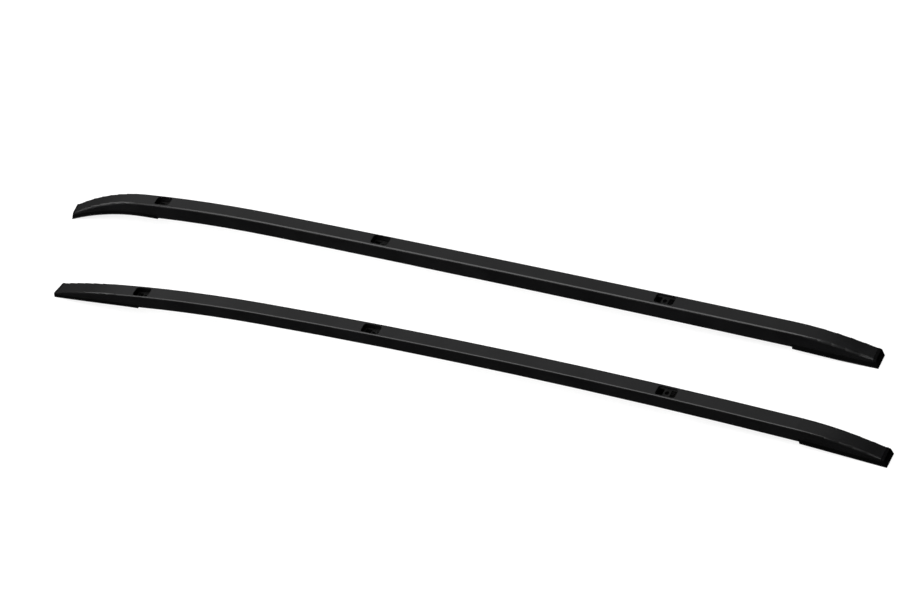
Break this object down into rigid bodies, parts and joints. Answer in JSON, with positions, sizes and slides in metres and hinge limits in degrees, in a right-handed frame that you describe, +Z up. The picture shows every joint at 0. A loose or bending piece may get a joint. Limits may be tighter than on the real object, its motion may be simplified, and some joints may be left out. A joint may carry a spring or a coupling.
{
  "type": "roof side rails",
  "caption": "Left and right roof side rails: bent black aluminium channels on moulded end feet, with bolt brackets under access openings in the top.",
  "frame": {"origin": "on the ground under the middle of the pair's overall box", "axes": "+X to the rails' blunt rear ends, -X to their tapered front ends, +Y to the right-hand rail, +Z up"},
  "size_m": [2.1056, 0.2942, 0.098],
  "materials": {
    "powder_coat": "satin black powder coat on extruded aluminium",
    "foot_plastic": "fine-grained black moulded plastic",
    "gasket_rubber": "soft matt black rubber",
    "pad_rubber": "matt black rubber",
    "bracket_steel": "dull dark plating",
    "rivet_steel": "plain zinc plating"
  },
  "bodies": {
    "root": {"left_bracket_rivets": "rivet_steel", "left_centre_pad": "pad_rubber", "left_front_bracket": "bracket_steel", "left_front_foot": "foot_plastic", "left_front_gasket": "gasket_rubber", "left_middle_bracket": "bracket_steel", "left_rail": "powder_coat", "left_rear_bracket": "bracket_steel", "left_rear_foot": "foot_plastic", "left_rear_gasket": "gasket_rubber", "right_bracket_rivets": "rivet_steel", "right_centre_pad": "pad_rubber", "right_front_bracket": "bracket_steel", "right_front_foot": "foot_plastic", "right_front_gasket": "gasket_rubber", "right_middle_bracket": "bracket_steel", "right_rail": "powder_coat", "right_rear_bracket": "bracket_steel", "right_rear_foot": "foot_plastic", "right_rear_gasket": "gasket_rubber"}
  },
  "joints": []
}
